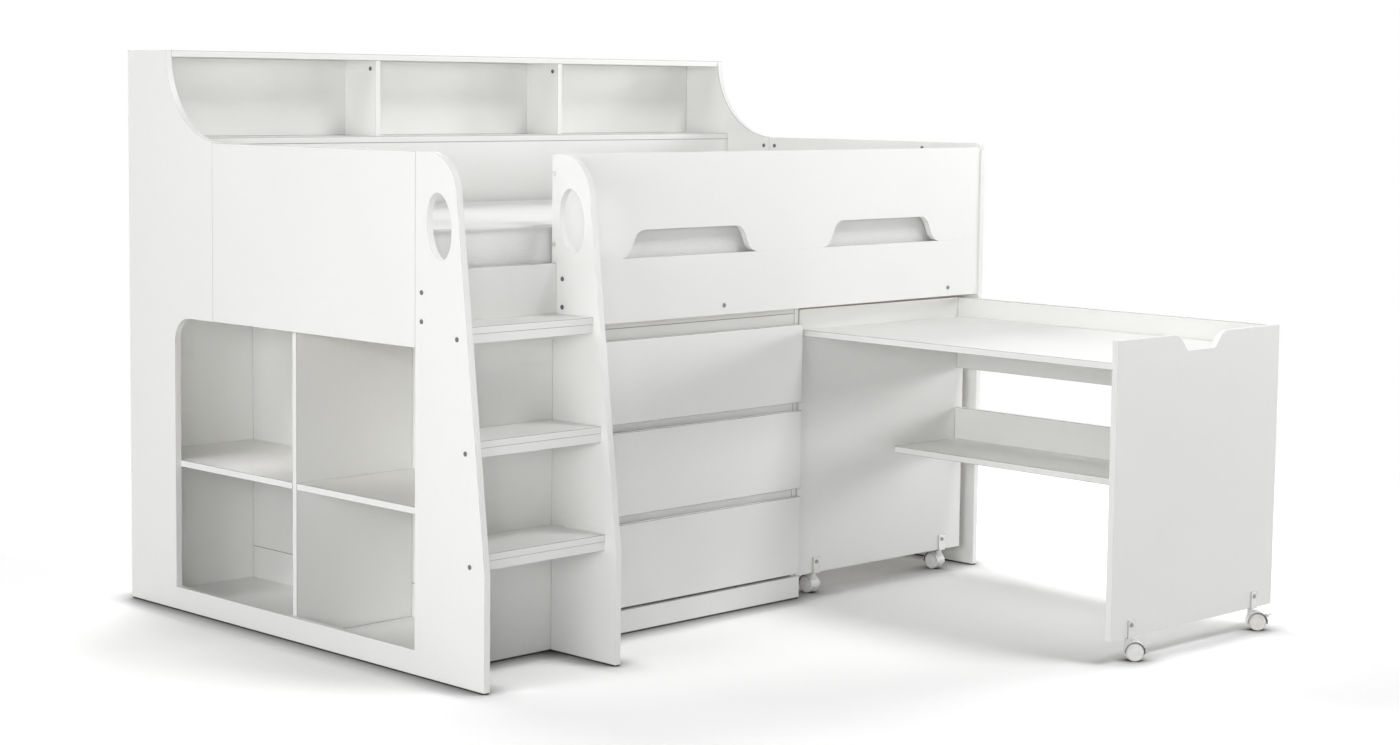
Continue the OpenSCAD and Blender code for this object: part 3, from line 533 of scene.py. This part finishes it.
def mattress_pad():
    """A firm pad: a low crown on top, a border that swells a little, and a taped edge above and below it."""
    lo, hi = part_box("mattress")
    line = rounded_outline(lo, hi, PAD_CORNER, PAD_STEP)
    half = (hi[1] - lo[1]) / 2
    mid_y = (hi[1] + lo[1]) / 2
    spine = [Vector((min(max(p.x, lo[0] + half), hi[0] - half), mid_y)) for p, _ in line]
    section = pad_section(hi[2] - TAPE_DROP, lo[2] + TAPE_R)
    seam_in, seam_z, _ = section[0]
    bm = bmesh.new()
    rings = []
    kinds = []
    for u in CROWN_ROWS:
        d = seam_in + u * (half - seam_in)
        z = seam_z + (hi[2] - seam_z) * crown(u, d - seam_in)
        ring = []
        for (p, _), c in zip(line, spine):
            q = p.lerp(c, d / half)
            dent = DENT * math.sin(p.x * 23.0 + 1.3) * math.sin(p.y * 19.0 + 0.4) * (1 - u)
            ring.append(bm.verts.new((q.x, q.y, z + dent)))
        rings.append(ring)
        kinds.append(PANEL)
    for d, z, kind in section:
        ring = []
        for p, normal in line:
            pucker = 0.0
            if kind == SIDE:
                pucker = PUCKER * math.sin(p.x * 61.0 + p.y * 57.0 + 2.0) * math.sin(p.x * 17.0 - p.y * 13.0)
            q = p - normal * (d + pucker)
            ring.append(bm.verts.new((q.x, q.y, z)))
        rings.append(ring)
        kinds.append(kind)
    count = len(line)
    for upper, lower, kind in zip(rings, rings[1:], kinds[1:]):
        for i in range(count):
            j = (i + 1) % count
            f = bm.faces.new((upper[i], lower[i], lower[j], upper[j]))
            f.material_index = kind
    bm.faces.new(rings[-1]).material_index = PANEL
    # the rows of the top meet on the middle line
    bmesh.ops.remove_doubles(bm, verts=bm.verts, dist=1e-5)
    bmesh.ops.recalc_face_normals(bm, faces=bm.faces)
    mesh = bpy.data.meshes.new("mattress_pad")
    bm.to_mesh(mesh)
    bm.free()
    obj = bpy.data.objects.new("mattress_pad", mesh)
    bpy.context.collection.objects.link(obj)
    for m in (TICKING, BORDER, TAPE):
        mesh.materials.append(m)
    mesh.shade_smooth()
    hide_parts("mattress")
    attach(obj, BODY_OF["mattress"])


mattress_pad()


# ---- Castors ----

def lathe(profile, segments):
    """A closed solid of revolution about Y from (y, r) points."""
    bm = bmesh.new()
    turns = [2 * math.pi * i / segments for i in range(segments)]
    rings = []
    for y, r in profile:
        if r < 1e-6:
            rings.append([bm.verts.new((0, y, 0))])
            continue
        rings.append([bm.verts.new((r * math.cos(a), y, r * math.sin(a))) for a in turns])
    for a, b in zip(rings, rings[1:]):
        for i in range(segments):
            j = (i + 1) % segments
            if len(a) == 1:
                bm.faces.new((a[0], b[i], b[j]))
            elif len(b) == 1:
                bm.faces.new((a[i], b[0], a[j]))
            else:
                bm.faces.new((a[i], b[i], b[j], a[j]))
    bmesh.ops.recalc_face_normals(bm, faces=bm.faces)
    return bm


WHEEL_R = 0.0215
WEB_HALF = 0.003          # half the thickness of the hood's web between the wheels
WHEEL_IN = WEB_HALF + 0.0004          # a wheel's inner face, just clear of the web
WHEEL_OUT = WHEEL_IN + 0.0125
TREAD_IN = 0.0172         # faces nearer to the axle than this are hub, the others tread
AXLE_R = 0.003
AXLE_HALF = WHEEL_IN + 0.0004         # the axle reaches a little into both wheels
HOOD_RIM = 0.0013         # width of the light strip round the hood's end, whose rest carries painted shade
RIM_TOL = 0.0004


def wheel_profile(s):
    """One wheel of a twin castor: rounded tread, sunk face and domed hub, on the side s."""
    pts = [
        (WHEEL_IN, 0.0), (WHEEL_IN, 0.0185), (WHEEL_IN + 0.0008, 0.0205), (WHEEL_IN + 0.003, WHEEL_R),
        (WHEEL_OUT - 0.004, WHEEL_R), (WHEEL_OUT - 0.0018, 0.0207), (WHEEL_OUT - 0.0006, 0.0192),
        (WHEEL_OUT - 0.0005, 0.0178), (WHEEL_OUT - 0.0016, 0.0168), (WHEEL_OUT - 0.0016, 0.0098),
        (WHEEL_OUT - 0.0006, 0.0088), (WHEEL_OUT - 0.0001, 0.0060), (WHEEL_OUT, 0.0),
    ]
    return [(s * y, r) for y, r in pts]


def add_part(bm, part):
    """Adds one mesh to another."""
    tmp = bpy.data.meshes.new("tmp")
    part.to_mesh(tmp)
    part.free()
    bm.from_mesh(tmp)
    bpy.data.meshes.remove(tmp)


def wheel_pair(corner):
    """Two wheels and their axle, about the castor's own axle."""
    bm = bmesh.new()
    for s in (-1, 1):
        part = lathe(wheel_profile(s), segments=64)
        for f in part.faces:
            c = f.calc_center_median()
            f.material_index = 0 if math.hypot(c.x, c.z) > TREAD_IN else 1
        add_part(bm, part)
    rod = [(-AXLE_HALF, 0.0), (-AXLE_HALF, AXLE_R), (AXLE_HALF, AXLE_R), (AXLE_HALF, 0.0)]
    axle = lathe(rod, segments=32)
    for f in axle.faces:
        f.material_index = 2
    add_part(bm, axle)
    j = HINGES[corner + "_wheels_roll"]
    axis = Vector(j["axis"]).normalized()
    turn = Vector((0, 1, 0)).rotation_difference(axis).to_matrix().to_4x4()
    bm.transform(Matrix.Translation(Vector(j["pos_m"])) @ turn)
    bmesh.ops.recalc_face_normals(bm, faces=bm.faces)
    finish_piece(bm, corner + "_twin_wheels", corner + "_castor_wheels", [TREAD, HUB, STEEL], smooth_angle=40)


def castor_hood(corner):
    """The hood: light outside and along its rim, with painted shade inside and on the rest of its ends, for
    the dark gap round the wheels.
    """
    node = corner + "_castor_hood"
    bm = clean_copy(node)
    j = HINGES[corner + "_wheels_roll"]
    axis = Vector(j["axis"]).normalized()
    axle = Vector(j["pos_m"])
    side = max(abs((v.co - axle).dot(axis)) for v in bm.verts)
    ends = []
    for f in bm.faces:
        arm = f.calc_center_median() - axle
        along = arm.dot(axis)
        out = arm - along * axis
        inward = out.length > WHEEL_R * 0.5 and f.normal.dot(out.normalized()) < -0.5
        if abs(f.normal.dot(axis)) > ALONG and abs(along) > side - RIM_TOL:
            ends.append(f)
        elif inward and abs(along) > WEB_HALF:
            # the faces turned toward the wheels take the painted shade
            f.material_index = 1
    reach = max(((v.co - axle) - (v.co - axle).dot(axis) * axis).length for f in ends for v in f.verts)
    rims = bmesh.ops.inset_individual(bm, faces=ends, thickness=HOOD_RIM)["faces"]
    for f in set(ends) | set(rims):
        arm = f.calc_center_median() - axle
        out = (arm - arm.dot(axis) * axis).length
        # the hood's ends take the painted shade, all but the light strip round their rim
        f.material_index = 0 if f in rims and out > reach - HOOD_RIM else 1
    ease_edges(bm, HOOD_EASE, segments=1)
    finish_piece(bm, node + "_dressed", node, [HOOD, HOOD_PAINTED_SHADE])


for c in CORNERS:
    wheel_pair(c)
    castor_hood(c)
# only the outer castors have brakes
for c in CORNERS[:2]:
    plain_dress(c + "_castor_brake", [HOOD], PEDAL_EASE)


# ---- Floor, light and camera ----

def camera_ray_mix(tree, seen, other):
    """Gives one shader to what the camera, a mirror or glass sees, and another to the rest."""
    paths = tree.nodes.new("ShaderNodeLightPath")
    share = paths.outputs["Is Camera Ray"]
    for kind in ("Is Glossy Ray", "Is Transmission Ray"):
        either = tree.nodes.new("ShaderNodeMath")
        either.operation = "MAXIMUM"
        tree.links.new(share, either.inputs[0])
        tree.links.new(paths.outputs[kind], either.inputs[1])
        share = either.outputs[0]
    mix = tree.nodes.new("ShaderNodeMixShader")
    tree.links.new(share, mix.inputs["Fac"])
    tree.links.new(other, mix.inputs[1])
    tree.links.new(seen, mix.inputs[2])
    return mix.outputs[0]


FLOOR_HALF = 40.0
FADE_FROM, FADE_TO = 2.0, 3.4     # distances from the middle between which the floor runs out into white
FLOOR_LAYERS = (0.88, 0.30)       # two layers of white, so that the lit floor reaches the background's white
FLOOR_BOUNCE = 0.72               # what the floor throws back on the object
# painted contact shade: the floor's colour is darkened by ambient occlusion where the object stands close to
# it
CONTACT_REACH, CONTACT_DEPTH = 0.085, 2.0
CONTACT_SAMPLES = 12


def make_floor():
    """A plain white floor that keeps the object's shadow, with painted contact shade near the object."""
    bm = bmesh.new()
    for x, y in ((-1, -1), (1, -1), (1, 1), (-1, 1)):
        bm.verts.new((x * FLOOR_HALF, y * FLOOR_HALF, 0))
    bm.faces.new(bm.verts)
    mesh = bpy.data.meshes.new("floor")
    bm.to_mesh(mesh)
    bm.free()
    floor = bpy.data.objects.new("floor", mesh)
    bpy.context.collection.objects.link(floor)
    m = bpy.data.materials.new("floor")
    m.use_nodes = True
    t = m.node_tree
    t.nodes.clear()
    out = t.nodes.new("ShaderNodeOutputMaterial")
    # painted contact shade: ambient occlusion scales the floor's colour down near the object
    near = t.nodes.new("ShaderNodeAmbientOcclusion")
    near.samples = CONTACT_SAMPLES
    near.inputs["Distance"].default_value = CONTACT_REACH
    contact = t.nodes.new("ShaderNodeMath")
    contact.operation = "POWER"
    contact.inputs[1].default_value = CONTACT_DEPTH
    t.links.new(near.outputs["AO"], contact.inputs[0])
    add = t.nodes.new("ShaderNodeAddShader")
    for i, shade in enumerate(FLOOR_LAYERS):
        layer = t.nodes.new("ShaderNodeBsdfDiffuse")
        t.links.new(spread(t, contact.outputs[0], 0.0, shade), layer.inputs["Color"])
        t.links.new(layer.outputs[0], add.inputs[i])
    place = t.nodes.new("ShaderNodeNewGeometry").outputs["Position"]
    away = t.nodes.new("ShaderNodeVectorMath")
    away.operation = "LENGTH"
    t.links.new(place, away.inputs[0])
    fade = t.nodes.new("ShaderNodeMapRange")
    fade.interpolation_type = "SMOOTHSTEP"
    fade.inputs["From Min"].default_value = FADE_FROM
    fade.inputs["From Max"].default_value = FADE_TO
    t.links.new(away.outputs["Value"], fade.inputs["Value"])
    backdrop = t.nodes.new("ShaderNodeEmission")
    backdrop.inputs["Color"].default_value = (1, 1, 1, 1)
    backdrop.inputs["Strength"].default_value = 1.0
    seen = t.nodes.new("ShaderNodeMixShader")
    t.links.new(fade.outputs["Result"], seen.inputs["Fac"])
    t.links.new(add.outputs[0], seen.inputs[1])
    t.links.new(backdrop.outputs[0], seen.inputs[2])
    plain = t.nodes.new("ShaderNodeBsdfDiffuse")
    plain.inputs["Color"].default_value = (FLOOR_BOUNCE, FLOOR_BOUNCE, FLOOR_BOUNCE, 1)
    t.links.new(camera_ray_mix(t, seen.outputs[0], plain.outputs[0]), out.inputs["Surface"])
    mesh.materials.append(m)


def make_world():
    """White to the camera, and to what mirrors it, and no light on the object."""
    w = bpy.data.worlds.new("studio")
    bpy.context.scene.world = w
    w.use_nodes = True
    t = w.node_tree
    t.nodes.clear()
    out = t.nodes.new("ShaderNodeOutputWorld")
    seen = t.nodes.new("ShaderNodeBackground")
    seen.inputs["Color"].default_value = (1, 1, 1, 1)
    seen.inputs["Strength"].default_value = 1.0
    dark = t.nodes.new("ShaderNodeBackground")
    dark.inputs["Strength"].default_value = 0.0
    t.links.new(camera_ray_mix(t, seen.outputs[0], dark.outputs[0]), out.inputs["Surface"])


def area_light(name, at, toward, size, power):
    """A soft box that the camera doesn't see."""
    data = bpy.data.lights.new(name, "AREA")
    data.shape = "RECTANGLE"
    data.size, data.size_y = size
    data.energy = power
    obj = bpy.data.objects.new(name, data)
    bpy.context.collection.objects.link(obj)
    obj.location = at
    obj.rotation_euler = (Vector(toward) - Vector(at)).to_track_quat("-Z", "Y").to_euler()
    obj.visible_camera = False


make_floor()
make_world()

# soft boxes, all turned to one point over the floor: name, place, size, watts
AIM = (0, 0, 0.6)
SOFT_BOXES = (
    ("right_front_low", (9.80, -3.18, 2.04), (3.2, 2.2), 402),
    ("front_high", (1.52, -3.41, 5.92), (2, 2), 172),
    ("back", (1.20, 5.20, 6.00), (4.5, 3), 355),
    ("left", (-5.61, 0.49, 3.85), (2, 2), 108),
    ("left_front_low", (-6.12, -1.99, 1.50), (2, 1.4), 106),
    ("front_left_low", (-4.78, -4.31, 1.50), (2, 1.4), 65),
    ("right", (5.61, 0.49, 3.85), (2, 2), 28),
    ("front_right_low", (4.78, -4.31, 1.50), (2, 1.4), 33),
    ("right_front", (5.35, -1.74, 3.85), (2, 2), 6),
)
for lamp, at, size, watts in SOFT_BOXES:
    area_light(lamp, at, AIM, size, watts)

# camera, solved from the photograph's edges: in mm from the bed's front left corner, then degrees
CAM_AT = (-3372.6, -4085.2, 1291.2)
YAW, PITCH, ROLL = 45.654, -5.009, 0.558
FOCAL_PX = 2460.0
SHIFT = (0.05, -0.05)
IMAGE_W = 1400.0
SENSOR_W = 36.0
BED_L, BED_W = 1.950, 1.146
ORIGIN_Y = BED_W - cad_box[1][1]      # from the bed's front to the frame's middle


def make_camera():
    """The photograph's camera."""
    data = bpy.data.cameras.new("camera")
    data.sensor_fit = "HORIZONTAL"
    data.sensor_width = SENSOR_W
    data.lens = FOCAL_PX / IMAGE_W * SENSOR_W
    data.shift_x, data.shift_y = SHIFT
    data.clip_end = 200.0
    obj = bpy.data.objects.new("camera", data)
    bpy.context.collection.objects.link(obj)
    yaw, pitch, roll = (math.radians(a) for a in (YAW, PITCH, ROLL))
    forward = Vector((math.cos(yaw) * math.cos(pitch), math.sin(yaw) * math.cos(pitch), math.sin(pitch)))
    level = Vector((math.sin(yaw), -math.cos(yaw), 0))
    upright = level.cross(forward)
    right = math.cos(roll) * level + math.sin(roll) * upright
    up = -math.sin(roll) * level + math.cos(roll) * upright
    turn = Matrix((right, up, -forward)).transposed().to_4x4()
    at = Vector((CAM_AT[0] / 1000 - BED_L / 2, CAM_AT[1] / 1000 - ORIGIN_Y, CAM_AT[2] / 1000))
    obj.matrix_world = Matrix.Translation(at) @ turn
    bpy.context.scene.camera = obj


make_camera()
bpy.context.scene.view_settings.view_transform = "Standard"
